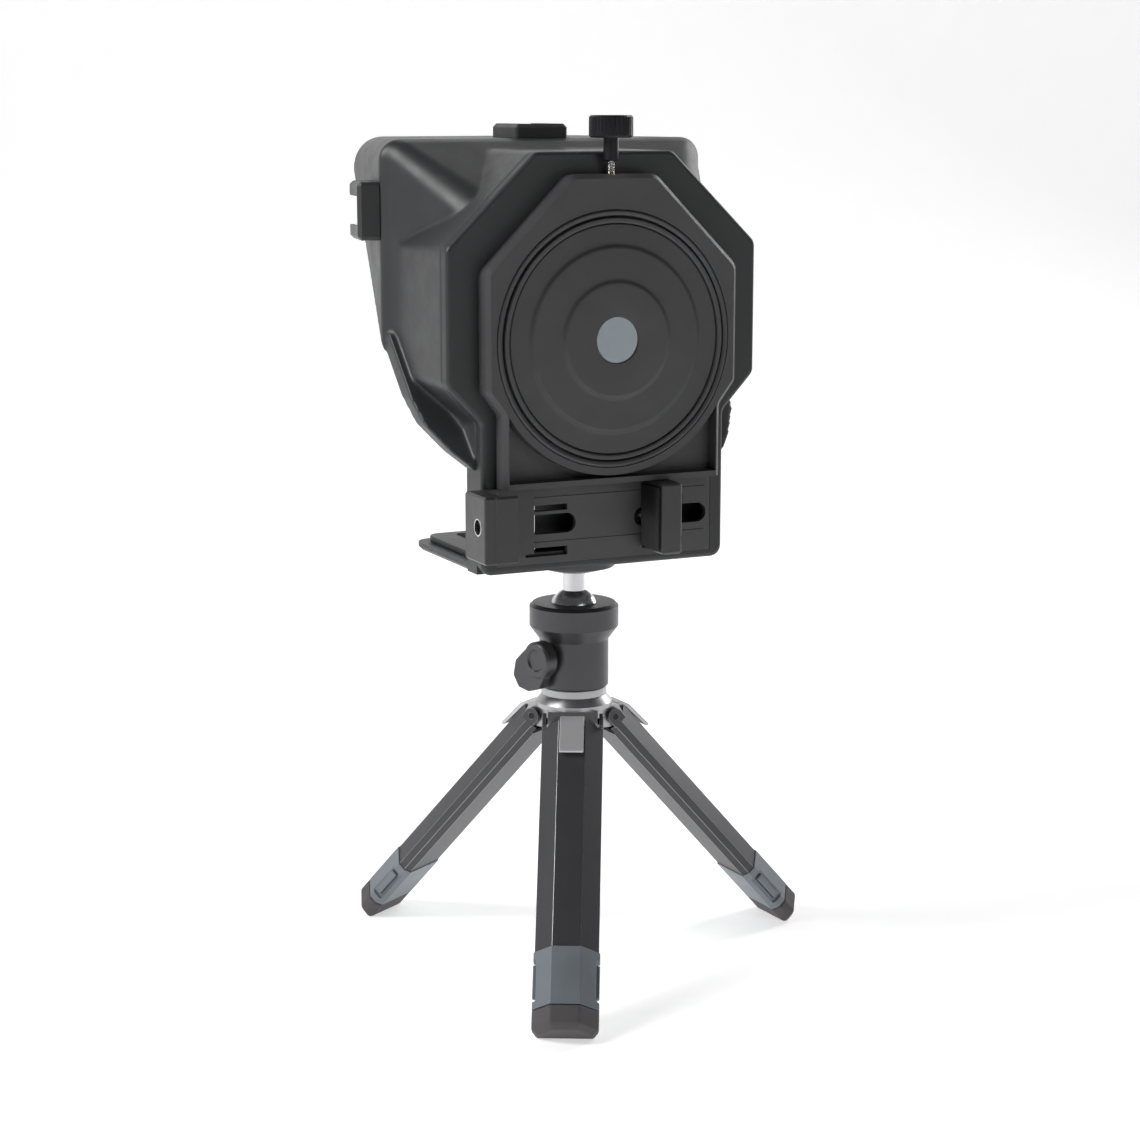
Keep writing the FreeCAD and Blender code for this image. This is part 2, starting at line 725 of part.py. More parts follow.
def clamp_plate():
    blank = box("clamp_blank", "-clamp_half", "clamp_half", "face_back", "clamp_plate_front",
                "clamp_bottom + 0.1", "board_bottom - 0.1")
    tools = []
    for side, word in ((-1, "left"), (1, "right")):
        tools += slot_tool(f"clamp_slot_{word}", side)
        for level, (low, high) in enumerate(((190.2, 194), (209.6, 212.2))):
            near, far = (18, 37.5) if side > 0 else (-37.5, -18)
            tools.append(box(f"clamp_guide_{word}_{level}", near, far, "face_back - 1",
                             "face_back + 5", low, high))
    for index, level in enumerate((196.4, 215.6)):
        tools.append(box(f"clamp_line_{index}", "-clamp_half + 3", "clamp_half - 3", "face_back - 0.2",
                         "face_back + 0.35", level, level + 0.4))
    finish("clamp_plate", cut("clamp_slotted", blank, tools))


def jaw_stud(name, place):
    """The slider behind the clamp plate and the stud that joins it to its jaw."""
    stud = rod(name + "_stud", place, "face_back - 1.6", "slot_height", "slot_r - 0.15", 4.5, "y")
    plate_behind = box(name + "_slider", f"{place} - 8", f"{place} + 8", "clamp_plate_front + 0.1",
                       "face_front + 0.4", "slot_height - 11", "slot_height + 11")
    return fuse(name + "_stud_and_slider", [stud, plate_behind])


def left_jaw():
    """A wall with a lip round the phone's edge, a foot on the clamp plate and a side thread."""
    inner = "left_phone_side - pad_thick"
    outer = f"{inner} - 7.9"
    jaw = slab("left_jaw_block", "left_jaw_bottom", "jaw_top", [
        (outer, "face_back - 0.1"),
        (outer, "left_jaw_back + 0.6"),
        (f"{inner} - 3.2", "left_jaw_back + 0.6"),
        (f"{inner} - 2.6", "left_jaw_back"),
        ("left_phone_side + 5.1", "left_jaw_back"),
        ("left_phone_side + 5.1", "left_jaw_back + 1.9"),
        (inner, "left_jaw_back + 1.9"),
        (inner, "face_back - 3.2"),
        ("left_stud + 5", "face_back - 3.2"),
        ("left_stud + 5", "face_back - 0.1"),
    ])
    round_edges(jaw, 1, lambda edge: runs_along(edge, Z) and edge.BoundBox.XMax < size(outer) + 0.1
                and edge.BoundBox.YMax < size("face_back") - 4)
    round_edges(jaw, 0.9, lambda edge: not runs_along(edge, Z)
                and (edge.BoundBox.YMax < size("left_jaw_back") + 1.7
                     or edge.BoundBox.XMax < size(outer) + 1.1), "Chamfer")
    thread = rod("left_jaw_thread", f"{outer} - 1", "thread_y", "thread_z", 3.8, 10, "x")
    seat = rod("left_jaw_seat", "left_stud", "face_back - 1.7", "slot_height", "slot_r - 0.15", 3, "y")
    finish("left_jaw", cut("left_jaw_drilled", jaw, [thread, seat]))
    insert = turned("jaw_insert_profile", [
        ("quarter_inch_r", 0), (3.75, 0), (3.75, 6), ("quarter_inch_r", 6),
    ])
    mouth = FreeCAD.Vector(size(outer), size("thread_y"), size("thread_z"))
    insert.Placement = FreeCAD.Placement(mouth, TOWARDS["x"])
    finish("jaw_insert", insert)
    pad_piece = box("left_pad", f"{inner} + 0.02", "left_phone_side", "left_jaw_back + 2.4",
                    "face_back - 4", "left_jaw_bottom + 2", "jaw_top - 2")
    finish("left_jaw_pad", pad_piece)
    finish("left_jaw_slider", jaw_stud("left", "left_stud"))


def right_jaw():
    """A plain block with a narrow foot."""
    inner = "right_phone_side + pad_thick"
    jaw = slab("right_jaw_block", "right_jaw_bottom", "jaw_top", [
        (inner, "face_back - 0.1"),
        (inner, "right_jaw_back"),
        (f"{inner} + 9.6", "right_jaw_back"),
        (f"{inner} + 9.6", "face_back - 3.2"),
        (f"{inner} + 11.6", "face_back - 3.2"),
        (f"{inner} + 11.6", "face_back - 0.1"),
    ])
    round_edges(jaw, 1.5, lambda edge: runs_along(edge, Z)
                and edge.BoundBox.YMax < size("right_jaw_back") + 0.1)
    round_edges(jaw, 1, lambda edge: not runs_along(edge, Z)
                and edge.BoundBox.YMax < size("right_jaw_back") + 1.6, "Chamfer")
    seat = rod("right_jaw_seat", "right_stud", "face_back - 1.7", "slot_height", "slot_r - 0.15", 3, "y")
    finish("right_jaw", cut("right_jaw_drilled", jaw, [seat]))
    pad_piece = box("right_pad", "right_phone_side", f"{inner} - 0.02", "right_jaw_back + 2",
                    "face_back - 1", "right_jaw_bottom + 2", "jaw_top - 2")
    finish("right_jaw_pad", pad_piece)
    finish("right_jaw_slider", jaw_stud("right", "right_stud"))


# ---------------------------------------------------------------- phone tray

def phone_tray():
    deck = slab("tray_deck", "slab_top + 0.15", "slab_top + 2.6", [
        ("-neck_half + 5", -12), ("neck_half - 5", -12), ("neck_half - 5", 45), ("-neck_half + 5", 45),
    ])
    round_edges(deck, 7, lambda edge: runs_along(edge, Z) and edge.BoundBox.YMin > 0)
    tongues = [
        box("tray_tongue_left", -29, -21, -7.5, 10, "slab_top - 2.1", "slab_top + 1"),
        box("tray_tongue_right", 21, 29, -7.5, 10, "slab_top - 2.1", "slab_top + 1"),
    ]
    grooves = [
        box(f"tray_pad_seat_{word}", f"{side} - 4.2", f"{side} + 4.2", -8.2, 38.2, "slab_top + 2",
            "slab_top + 4")
        for side, word in ((-36, "left"), (36, "right"))
    ]
    finish("phone_tray", cut("tray_with_seats", fuse("tray_blank", [deck] + tongues), grooves))
    pads = [
        box(f"tray_pad_{word}", f"{side} - 4", f"{side} + 4", -8, 38, "slab_top + 2.02", "slab_top + 3.2")
        for side, word in ((-36, "left"), (36, "right"))
    ]
    finish("tray_pads", bundle("tray_pad_set", pads))
    insert = turned("base_insert_profile", [
        ("quarter_inch_r", "base_bottom"), (4.28, "base_bottom"),
        (4.28, "slab_top - 0.1"), ("quarter_inch_r", "slab_top - 0.1"),
    ])
    finish("base_insert", insert)


# ---------------------------------------------------------------- ball head

def ball_head():
    ring = turned("pan_ring_profile", [
        (4, "ring_bottom"), ("ring_band_r", "ring_bottom"), ("ring_band_r", "housing_bottom - 0.05"),
        (4, "housing_bottom - 0.05"),
    ])
    finish("pan_ring", ring)
    cup_floor = "lever_height + 3"
    housing = turned("housing_profile", [
        (4, "housing_bottom"),
        ("housing_r - 0.8", "housing_bottom"),
        ("housing_r", "housing_bottom + 0.8"),
        ("housing_r", "ball_height - 12"),
        ("housing_r + 4.4", "ball_height - 6"),
        ("housing_r + 4.4", "ball_height + 3"),
        ("housing_r + 2.8", "ball_height + 4.4"),
        (8, "ball_height + 4.4"),
        (8, f"{cup_floor} - 3"),
        (4, f"{cup_floor} - 3"),
    ])
    socket = doc.addObject("Part::Sphere", "housing_socket")
    bind(socket, "Radius", "ball_r + 0.06")
    bind(socket, "Placement.Base.z", "ball_height")
    bore = rod("housing_bore", 0, 0, f"{cup_floor} - 3", 8, 12)
    lever_hole = peg("housing_lever_hole", lever_placement(0), 2, 30)
    finish("ball_housing", cut("housing_bored", housing, [socket, bore, lever_hole]))
    cup = turned("cup_blank", [
        (0, f"{cup_floor} - 2.9"), (7.9, f"{cup_floor} - 2.9"), (7.9, "ball_height - 5"),
        (0, "ball_height - 5"),
    ])
    hollow = doc.addObject("Part::Sphere", "cup_hollow")
    bind(hollow, "Radius", "ball_r + 0.06")
    bind(hollow, "Placement.Base.z", "ball_height")
    finish("pressure_cup", cut("cup_turned", cup, [hollow]))

    ball = doc.addObject("Part::Sphere", "ball")
    bind(ball, "Radius", "ball_r")
    bind(ball, "Placement.Base.z", "ball_height")
    stem = rod("ball_neck", 0, 0, "ball_height + 9", 5, "base_bottom - ball_height - 16.05")
    platform = turned("platform_profile", [
        (0, "base_bottom - 7"), (9, "base_bottom - 7"), ("platform_r", "base_bottom - 4.5"),
        ("platform_r", "base_bottom - 1.4"), (0, "base_bottom - 1.4"),
    ])
    finish("ball_stem", cut("stem_drilled", fuse("stem_blank", [ball, stem]), [
        rod("stem_tap", 0, 0, "base_bottom - 12", 2.6, 8)]))
    finish("head_platform", cut("platform_drilled", platform, [
        rod("platform_hole", 0, 0, "base_bottom - 8", "quarter_inch_r", 8)]))
    cover = turned("platform_pad_profile", [
        (3.4, "base_bottom - 1.35"), ("platform_r - 0.6", "base_bottom - 1.35"),
        ("platform_r - 0.6", "base_bottom - 0.05"), (3.4, "base_bottom - 0.05"),
    ])
    finish("platform_pad", cover)
    screw = turned("mount_screw_profile", [
        (0, "base_bottom - 11.5"), (2.55, "base_bottom - 11.5"), (2.55, "base_bottom - 7"),
        (3.1, "base_bottom - 7"), (3.1, "slab_top - 0.9"), (2.5, "slab_top - 0.4"),
        (0, "slab_top - 0.4"),
    ])
    finish("mount_screw", screw)


def lever_placement(out):
    """The lock's axis: level, below the ball, leaving the housing on its left."""
    facing = FreeCAD.Rotation(Z, -162) * FreeCAD.Rotation(Y, 90)
    direction = facing.multVec(Z)
    start = FreeCAD.Vector(0, 0, size("lever_height"))
    return FreeCAD.Placement(start + direction * out, facing)


def lock_lever():
    hub = turned("lever_hub", [
        (0, 0.3), (4.5, 0.3), (4.5, 2.4), (8.2, 2.4), (8.2, 7.2), (7.2, 8.2), (5, 8.2), (4.4, 7.4),
        (0, 7.4),
    ])
    arm = new_body("lever_arm")
    sketch = polygon(arm, "XY_Plane", 2.6, [
        (-6, -5), (2, -14), (9, -15.5), (14, -12), (15, -5.5), (13, 1), (7, 4.5),
    ])
    pad(arm, sketch, 4.4)
    round_edges(arm, 2, lambda edge: runs_along(edge, Z))
    stud = rod("lever_stud", 0, 0, -7, 1.95, 8)
    lever = fuse("lever_blank", [hub, arm, stud])
    lever.Placement = lever_placement(size("housing_r"))
    finish("lock_lever", lever)


# ---------------------------------------------------------------- tripod

def leg_angle(index):
    return size("first_leg") + 120 * index


def across_hinge(index, side):
    """A place on one leg's hinge axis, looking along it."""
    turn = FreeCAD.Placement(FreeCAD.Vector(), FreeCAD.Rotation(Z, leg_angle(index)))
    start = FreeCAD.Vector(size("pin_radius"), side, size("pin_height"))
    return turn * FreeCAD.Placement(start, TOWARDS["y"])


def crown_tools(index):
    """What one leg takes from the crown: room for its ears beside the lug."""
    tools = []
    for side in (-1, 1):
        start = 11.3 if side > 0 else -14.3
        tools.append(peg(f"crown_ear_{index}_{side + 1}", across_hinge(index, start), 5.2, 3))
    return tools


def crown():
    disc = turned("crown_disc", [
        (0, "crown_disc_bottom"), ("crown_r", "crown_disc_bottom"), ("crown_r", "ring_bottom - 3.4"),
        ("crown_r - 2.6", "ring_bottom - 0.05"), (0, "ring_bottom - 0.05"),
    ])
    lugs = []
    pins = []
    tools = []
    for index in range(3):
        turn = FreeCAD.Placement(FreeCAD.Vector(), FreeCAD.Rotation(Z, leg_angle(index)))
        lug = new_body(f"crown_lug_{index}")
        sketch = polygon(lug, "XZ_Plane", -11, [
            (2, "pin_height - 5"), ("pin_radius + 1", "pin_height - 5"),
            ("pin_radius + 4.6", "pin_height - 1.4"), ("pin_radius + 4.6", "pin_height + 1.4"),
            ("crown_r - 0.2", "crown_disc_bottom + 0.2"), (2, "crown_disc_bottom + 0.2"),
        ])
        pad(lug, sketch, 22)
        lug.Placement = turn
        lugs.append(lug)
        tools += crown_tools(index)
        tools.append(peg(f"crown_bore_{index}", across_hinge(index, -15), 1.55, 30))
        pins.append(peg(f"leg_pin_{index}", across_hinge(index, -13.3), 1.5, 26.6))
    finish("crown", cut("crown_machined", fuse("crown_blank", [disc] + lugs), tools))
    finish("leg_pins", bundle("leg_pin_set", pins))
    centre = turned("crown_plug_profile", [
        (0, "pin_height - 7"), (5, "pin_height - 7"), (6, "pin_height - 6"), (6, "pin_height - 5.05"),
        (0, "pin_height - 5.05"),
    ])
    finish("crown_plug", centre)


def leg_outline(inset):
    """The leg's section: a broad flat outside, sloping shoulders and a narrower inside."""
    slant = f"{inset} * 0.42"
    right = [
        (f"leg_outer - {inset}", f"leg_flat_half - {slant}"),
        (f"0.5 - {slant}", f"leg_half - {inset}"),
        (f"-3 + {slant}", f"leg_half - {inset}"),
        (f"-5.5 + {inset}", f"leg_half - 2.5 - {slant}"),
    ]
    return right + [(across, f"-({side})") for across, side in reversed(right)]


def leg_prism(name, inset, bottom, top):
    return slab(name, bottom, top, leg_outline(inset))


def place_leg(obj, index):
    """Turn something built along the upright leg, with the hinge at the origin, into its place."""
    turn = FreeCAD.Rotation(Z, leg_angle(index)) * FreeCAD.Rotation(Y, -size("leg_tilt"))
    yaw = FreeCAD.Rotation(Z, leg_angle(index))
    hinge = yaw.multVec(FreeCAD.Vector(size("pin_radius"), 0, 0)) + FreeCAD.Vector(0, 0, size("pin_height"))
    obj.Placement = FreeCAD.Placement(hinge, turn)
    return obj


def leg(index):
    tag = f"_{index + 1}"
    rim = -3.5
    tube = leg_prism("tube_outside" + tag, 0, "-tube_length", rim)
    hollow = leg_prism("tube_inside" + tag, "tube_wall", "-tube_length - 1", rim + 1)
    ears = []
    for side in (-1, 1):
        low, high = (11.7, "leg_half") if side > 0 else ("-leg_half", -11.7)
        ears.append(box(f"ear_web_{side + 1}" + tag, -3.4, 3.4, low, high, rim - 0.5, 0))
        ears.append(rod(f"ear_head_{side + 1}" + tag, 0, low, 0, 3.6, "leg_half - 11.7", "y"))
    tube_with_ears = fuse("tube_blank" + tag, [cut("tube_hollow" + tag, tube, [hollow])] + ears)
    tube_blank = cut("tube_open" + tag, tube_with_ears, [
        box("tube_tab_slot" + tag, 4, 9, -5.6, 5.6, rim - 2.5, rim + 1),
        rod("tube_lug_room" + tag, 0, -11.35, 0, 5.4, 22.7, "y"),
        box("tube_fold_room" + tag, -8, 0.4, -11.35, 11.35, -7, 1),
        rod("tube_pin_hole" + tag, 0, -15, 0, 1.55, 30, "y"),
    ])
    finish("leg_tube" + tag, place_leg(tube_blank, index))

    sleeve = leg_prism("sleeve_outside" + tag, -0.5, "-tube_length - sleeve_length", "-tube_length - 0.05")
    sleeve_bore = leg_prism("sleeve_inside" + tag, 1.6, "-tube_length - sleeve_length - 1",
                            "-tube_length + 1")
    windows = [
        box(f"sleeve_window_{side + 1}" + tag, -4, 2.4, 12.6 if side > 0 else -16,
            16 if side > 0 else -12.6, "-tube_length - 22", "-tube_length - 4")
        for side in (-1, 1)
    ]
    slots = [
        box(f"sleeve_slot_{side + 1}" + tag, -2.2, 1, 9 if side > 0 else -16, 16 if side > 0 else -9,
            "-tube_length - 20.4", "-tube_length - 5.6")
        for side in (-1, 1)
    ]
    sleeve_cut = cut("sleeve_cut" + tag, sleeve, [sleeve_bore] + windows + slots)
    finish("leg_sleeve" + tag, place_leg(sleeve_cut, index))
    for side, word in ((-1, "left"), (1, "right")):
        low, high = (11.9, 14) if side > 0 else (-14, -11.9)
        button = slab(f"button_bar_{word}" + tag, "-tube_length - 20.2", "-tube_length - 5.8",
                      [(-2.05, low), (0.85, low), (0.85, high), (-2.05, high)])
        finish(f"{word}_leg_button" + tag, place_leg(button, index))

    inner = leg_prism("inner_outside" + tag, 2, "-tube_length - sleeve_length - 0.2", -36)
    inner_bore = leg_prism("inner_inside" + tag, 3.4, "-tube_length - sleeve_length - 2", -35)
    room = [
        box(f"inner_flat_{side + 1}" + tag, -3, 1.8, 11.05 if side > 0 else -16, 16 if side > 0 else -11.05,
            "-tube_length - sleeve_length - 2", -35)
        for side in (-1, 1)
    ]
    finish("inner_leg" + tag, place_leg(cut("inner_tube" + tag, inner, [inner_bore] + room), index))

    shoe_body = leg_prism("foot_blank" + tag, -0.5, "-leg_length", "-tube_length - sleeve_length - 0.3")
    round_edges(shoe_body, 2.4, lambda edge: abs(edge.BoundBox.ZMax + size("leg_length")) < 0.01
                and edge.BoundBox.XMax > 0, "Chamfer")
    plug = leg_prism("foot_plug" + tag, 3.5, "-tube_length - sleeve_length - 1",
                     "-tube_length - sleeve_length + 8")
    foot_raw = fuse("foot_raw" + tag, [shoe_body, plug])
    place_leg(foot_raw, index)
    below = box("floor_below" + tag, -200, 200, -200, 200, -60, 0)
    finish("rubber_foot" + tag, cut("foot_trimmed" + tag, foot_raw, [below]))

    tab = new_body("tab_plate" + tag)
    pad(tab, polygon(tab, "XZ_Plane", -5.25, [
        (9.4, -19.8), (10.3, -20.7), (11, -20), (10.3, -6), (9, -2.4), (6.6, -0.8), (5.8, -2),
        (8, -3.6), (8.4, -6),
    ]), 10.5)
    finish("latch_tab" + tag, place_leg(tab, index))


# ---------------------------------------------------------------- build and write

main_frame()
neck_cover()
hood_shell()
glass_and_frame()
cold_shoes()
lens_board()
lens_ring()
lens_shield()
clamp_screw()
board_screws()
clamp_plate()
left_jaw()
right_jaw()
phone_tray()
ball_head()
lock_lever()
crown()
for leg_index in range(3):
    leg(leg_index)
doc.recompute()

failed = [obj.Name for obj in doc.Objects if "Invalid" in obj.State or "Error" in obj.State]
if failed:
    raise RuntimeError("these objects failed: " + ", ".join(failed))
for part_name, part in parts.items():
    if part.Shape.isNull() or not part.Shape.isValid() or part.Shape.Volume <= 0:
        raise RuntimeError(part_name + " has no valid shape")
os.makedirs("parts", exist_ok=True)
for part_name, part in parts.items():
    part.Shape.exportStep(f"parts/{part_name}.step")
print(len(parts), "parts written")
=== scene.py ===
import bpy
import bmesh
import json
import math
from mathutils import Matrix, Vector


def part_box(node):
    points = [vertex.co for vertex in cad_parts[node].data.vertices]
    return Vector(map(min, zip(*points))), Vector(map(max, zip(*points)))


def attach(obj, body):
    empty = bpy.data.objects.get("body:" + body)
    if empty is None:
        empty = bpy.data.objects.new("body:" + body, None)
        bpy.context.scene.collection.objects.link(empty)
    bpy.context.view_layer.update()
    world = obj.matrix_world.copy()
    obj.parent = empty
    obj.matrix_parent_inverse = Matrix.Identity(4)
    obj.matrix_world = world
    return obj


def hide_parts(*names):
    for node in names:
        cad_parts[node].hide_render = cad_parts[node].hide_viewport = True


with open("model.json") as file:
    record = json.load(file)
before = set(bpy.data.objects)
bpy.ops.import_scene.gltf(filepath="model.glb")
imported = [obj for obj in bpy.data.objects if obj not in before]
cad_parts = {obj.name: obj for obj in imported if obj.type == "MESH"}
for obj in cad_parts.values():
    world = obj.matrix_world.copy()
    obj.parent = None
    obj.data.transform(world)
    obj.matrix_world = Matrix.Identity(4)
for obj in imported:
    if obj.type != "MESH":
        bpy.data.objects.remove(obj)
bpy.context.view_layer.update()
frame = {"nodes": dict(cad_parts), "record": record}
NODES = frame["nodes"]
MM = 0.001
CAMERA_TURN = math.radians(25.5)  # to the right of straight ahead, the backdrop turned to face it
RIB_DEPTH = 0.35 * MM
RIB_STEPS = 8  # points along each rib
TRAY_STRIP = 8 * MM  # width of each rubber strip on the tray


# ---------------------------------------------------------------- node material helpers

def new_material(name):
    """A material with an empty tree, its Principled shader and a coordinate source in metres."""
    material = bpy.data.materials.new(name)
    material.use_nodes = True
    tree = material.node_tree
    tree.nodes.clear()
    shader = tree.nodes.new("ShaderNodeBsdfPrincipled")
    output = tree.nodes.new("ShaderNodeOutputMaterial")
    tree.links.new(shader.outputs["BSDF"], output.inputs["Surface"])
    place = tree.nodes.new("ShaderNodeTexCoord")
    return material, tree, shader, place.outputs["Object"]


def noise(tree, place, scale, detail=3.0, rough=0.55, stretch=None):
    """Noise at so many waves per metre, drawn out along an axis where stretch is given."""
    if stretch:
        mapping = tree.nodes.new("ShaderNodeMapping")
        mapping.inputs["Scale"].default_value = stretch
        tree.links.new(place, mapping.inputs["Vector"])
        place = mapping.outputs["Vector"]
    texture = tree.nodes.new("ShaderNodeTexNoise")
    texture.inputs["Scale"].default_value = scale
    texture.inputs["Detail"].default_value = detail
    texture.inputs["Roughness"].default_value = rough
    tree.links.new(place, texture.inputs["Vector"])
    return texture.outputs["Fac"]


def remap(tree, value, low, high, start=0.3, end=0.7):
    """The value's range from start to end spread over low to high."""
    node = tree.nodes.new("ShaderNodeMapRange")
    node.inputs["From Min"].default_value = start
    node.inputs["From Max"].default_value = end
    node.inputs["To Min"].default_value = low
    node.inputs["To Max"].default_value = high
    tree.links.new(value, node.inputs["Value"])
    return node.outputs["Result"]


def blend_colours(tree, factor, dark, light):
    ramp = tree.nodes.new("ShaderNodeMix")
    ramp.data_type = "RGBA"
    ramp.inputs[6].default_value = (*dark, 1)
    ramp.inputs[7].default_value = (*light, 1)
    tree.links.new(factor, ramp.inputs[0])
    return ramp.outputs[2]


def bump_chain(tree, shader, layers):
    """Bump from several height fields: (height, distance in metres, strength)."""
    normal = None
    for height, distance, strength in layers:
        bump = tree.nodes.new("ShaderNodeBump")
        bump.inputs["Distance"].default_value = distance
        bump.inputs["Strength"].default_value = strength
        tree.links.new(height, bump.inputs["Height"])
        if normal:
            tree.links.new(normal, bump.inputs["Normal"])
        normal = bump.outputs["Normal"]
    tree.links.new(normal, shader.inputs["Normal"])


def tint(colour, factor):
    return tuple(min(1.0, channel * factor) for channel in colour)


def moulded(name, colour, rough=0.5, grain=2400, depth=0.02, spread=0.16, specular=0.5):
    """Moulded plastic or rubber: a fine spark-eroded grain, slow shade changes, handling marks."""
    material, tree, shader, place = new_material(name)
    fine = noise(tree, place, grain, 2.0)
    slow = noise(tree, place, 18, 4.0)
    marks = noise(tree, place, 70, 5.0, 0.7)
    shade = blend_colours(tree, remap(tree, slow, 0, 1), tint(colour, 1 - spread), tint(colour, 1 + spread))
    tree.links.new(shade, shader.inputs["Base Color"])
    tree.links.new(remap(tree, marks, rough - 0.06, rough + 0.08), shader.inputs["Roughness"])
    shader.inputs["Specular IOR Level"].default_value = specular
    bump_chain(tree, shader, [(fine, depth * MM, 0.55), (slow, 0.06 * MM, 0.12)])
    return material


def metal(name, colour, rough=0.32, brush=None, metallic=1.0, blast=0.0, spread=0.08):
    """Machined or anodised metal: brushed along an axis, or with a bead-blasted skin."""
    material, tree, shader, place = new_material(name)
    slow = noise(tree, place, 30, 4.0)
    shade = blend_colours(tree, remap(tree, slow, 0, 1), tint(colour, 1 - spread), tint(colour, 1 + spread))
    tree.links.new(shade, shader.inputs["Base Color"])
    shader.inputs["Metallic"].default_value = metallic
    if brush:
        lines = noise(tree, place, 900, 3.0, 0.6, brush)
        layers = [(lines, 0.012 * MM, 0.5)]
    else:
        lines = noise(tree, place, 3200, 2.0)
        layers = [(lines, 0.012 * MM, 0.25 + blast)]
    tree.links.new(remap(tree, lines, rough - 0.05, rough + 0.09), shader.inputs["Roughness"])
    bump_chain(tree, shader, layers)
    return material


def threaded(name, colour, pitch):
    """Bright steel with the ridges of a screw thread round Z, and painted shade darkening the thread
    grooves.
    """
    material, tree, shader, place = new_material(name)
    wave = tree.nodes.new("ShaderNodeTexWave")
    wave.bands_direction = "Z"
    wave.inputs["Scale"].default_value = 2 * math.pi / (20 * pitch * MM)
    tree.links.new(place, wave.inputs["Vector"])
    smear = noise(tree, place, 500, 3.0)
    # painted shade: the thread valleys get a darker base colour than the ridges
    shade = blend_colours(tree, wave.outputs["Fac"], tint(colour, 0.55), colour)
    tree.links.new(shade, shader.inputs["Base Color"])
    shader.inputs["Metallic"].default_value = 1.0
    tree.links.new(remap(tree, smear, 0.18, 0.34), shader.inputs["Roughness"])
    bump_chain(tree, shader, [(wave.outputs["Fac"], 0.25 * MM, 0.8)])
    return material


def coated_glass(name):
    """The beam splitter: clear glass, tinted cool, under a thin mirror coat."""
    material, tree, shader, place = new_material(name)
    haze = noise(tree, place, 40, 3.0)
    tree.links.new(remap(tree, haze, 0.01, 0.035), shader.inputs["Roughness"])
    shader.inputs["Base Color"].default_value = (0.42, 0.47, 0.5, 1)
    shader.inputs["Transmission Weight"].default_value = 0.8
    shader.inputs["IOR"].default_value = 1.52
    shader.inputs["Coat Weight"].default_value = 0.6
    shader.inputs["Coat Roughness"].default_value = 0.02
    shader.inputs["Coat IOR"].default_value = 2.1
    return material


LOOKS = {
    "hood_plastic": moulded("hood_plastic_look", (0.036, 0.037, 0.039), 0.42),
    "frame_plastic": moulded("frame_plastic_look", (0.026, 0.027, 0.029), 0.44),
    "board_plastic": moulded("board_plastic_look", (0.058, 0.058, 0.061), 0.5),
    "jaw_plastic": moulded("jaw_plastic_look", (0.04, 0.04, 0.042), 0.38),
    "shield_rubber": moulded("shield_rubber_look", (0.055, 0.055, 0.057), 0.58, 1800, 0.03),
    "grip_rubber": moulded("grip_rubber_look", (0.02, 0.02, 0.021), 0.75, 1500, 0.04),
    "knob_black": metal("knob_black_look", (0.03, 0.03, 0.033), 0.34, metallic=0.7),
    "black_screw": metal("black_screw_look", (0.03, 0.03, 0.03), 0.4, metallic=0.8),
    "bright_steel": metal("bright_steel_look", (0.62, 0.62, 0.64), 0.2, brush=(1, 1, 14)),
    "insert_brass": metal("insert_brass_look", (0.66, 0.47, 0.2), 0.28, brush=(1, 1, 12)),
    "splitter_glass": coated_glass("splitter_glass_look"),
    "housing_metal": metal("housing_metal_look", (0.085, 0.085, 0.09), 0.36, metallic=0.75, blast=0.1),
    "silver_metal": metal("silver_metal_look", (0.42, 0.42, 0.43), 0.34, metallic=0.95, blast=0.15),
    "tube_metal": metal("tube_metal_look", (0.07, 0.07, 0.076), 0.42, metallic=0.45, blast=0.3),
    "sleeve_plastic": moulded("sleeve_plastic_look", (0.18, 0.205, 0.228), 0.45, 2600, 0.015),
    "foot_rubber": moulded("foot_rubber_look", (0.095, 0.086, 0.092), 0.7, 1600, 0.04),
}
THREAD = threaded("screw_thread", (0.66, 0.66, 0.68), 0.7)
# lighter metal laid on the leg tubes' bevelled edges: a painted edge highlight
EDGE_HIGHLIGHT = metal("painted_edge_highlight", (0.36, 0.36, 0.37), 0.3, metallic=0.9)
LATCH = metal("latch_plating", (0.6, 0.6, 0.61), 0.36, metallic=0.45, blast=0.1)


# ---------------------------------------------------------------- carried-over nodes

EDGES = {  # widths in mm of the softened edges, by material slot
    "hood_plastic": 0.5, "frame_plastic": 0.45, "board_plastic": 0.3, "jaw_plastic": 0.35,
    "shield_rubber": 0.25, "grip_rubber": 0.2, "knob_black": 0.15, "housing_metal": 0.25,
    "silver_metal": 0.25, "tube_metal": 0.35, "sleeve_plastic": 0.3, "foot_rubber": 0.6,
    "bright_steel": 0.08, "splitter_glass": 0.1,
}


def soften(obj, width, highlight_edge=False):
    """Merge the flat facets, round the real edges and shade the curved ones smooth; on request the bevels
    get a lighter metal as a painted edge highlight.
    """
    weld = obj.modifiers.new("weld", "WELD")
    weld.merge_threshold = 0.001 * MM
    flat = obj.modifiers.new("flat", "DECIMATE")
    flat.decimate_type = "DISSOLVE"
    flat.angle_limit = math.radians(0.5)
    bevel = obj.modifiers.new("edge", "BEVEL")
    bevel.width = width * MM
    bevel.segments = 2
    bevel.limit_method = "ANGLE"
    bevel.angle_limit = math.radians(28)
    bevel.use_clamp_overlap = True
    bevel.harden_normals = False
    # the leg tubes' bevels take the lighter metal as a painted edge highlight
    if highlight_edge:
        obj.data.materials.append(EDGE_HIGHLIGHT)
        bevel.material = 1
        bevel.segments = 1
    normals = obj.modifiers.new("normals", "WEIGHTED_NORMAL")
    normals.keep_sharp = True


THREADED = ("thumbscrew_pin", "mount_screw")
SLOTS = {item["node"]: item["material_slot"] for item in frame["record"]["subparts"]}
BODIES = {
    node: body for body, nodes in frame["record"]["behaviour"]["bodies"].items() for node in nodes
}


